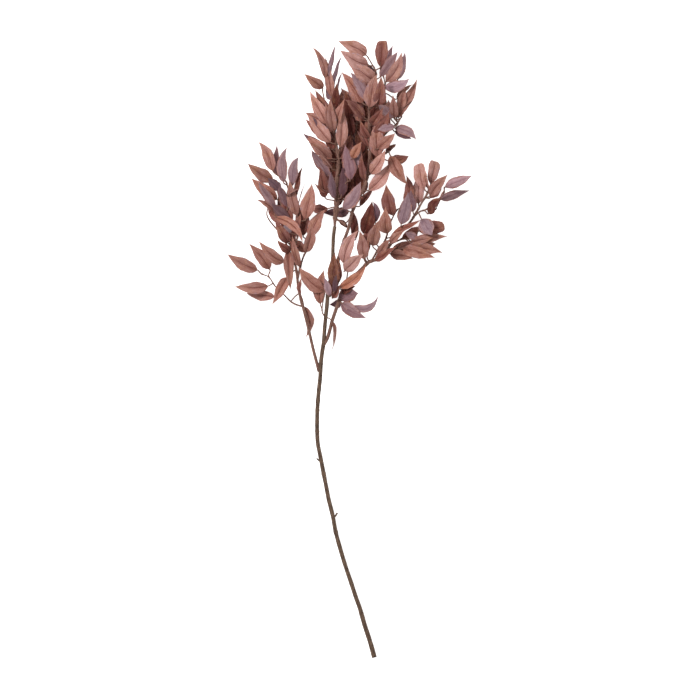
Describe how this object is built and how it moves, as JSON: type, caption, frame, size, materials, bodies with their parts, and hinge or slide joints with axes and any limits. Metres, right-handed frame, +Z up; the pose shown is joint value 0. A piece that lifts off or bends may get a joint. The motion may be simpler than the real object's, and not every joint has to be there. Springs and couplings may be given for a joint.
{
  "type": "dried willow stem",
  "caption": "Slim curved woody stem lying on its side, forking into leafy branches with long narrow leaves on thin stalks.",
  "frame": {"origin": "on the surface it lies on, under the middle of its length and width", "axes": "+Y runs along the stem from the cut end to the leafy top, +Z is up from the surface, +X is across"},
  "size_m": [0.4358, 1.1014, 0.1038],
  "materials": {
    "bark": "matte",
    "leaf": "matte"
  },
  "bodies": {
    "root": {"main_stem": "bark", "left_branch": "leaf", "right_branch": "leaf", "left_leader": "leaf", "right_leader": "leaf", "left_sprig": "leaf", "hanging_leaf": "leaf"}
  },
  "joints": []
}
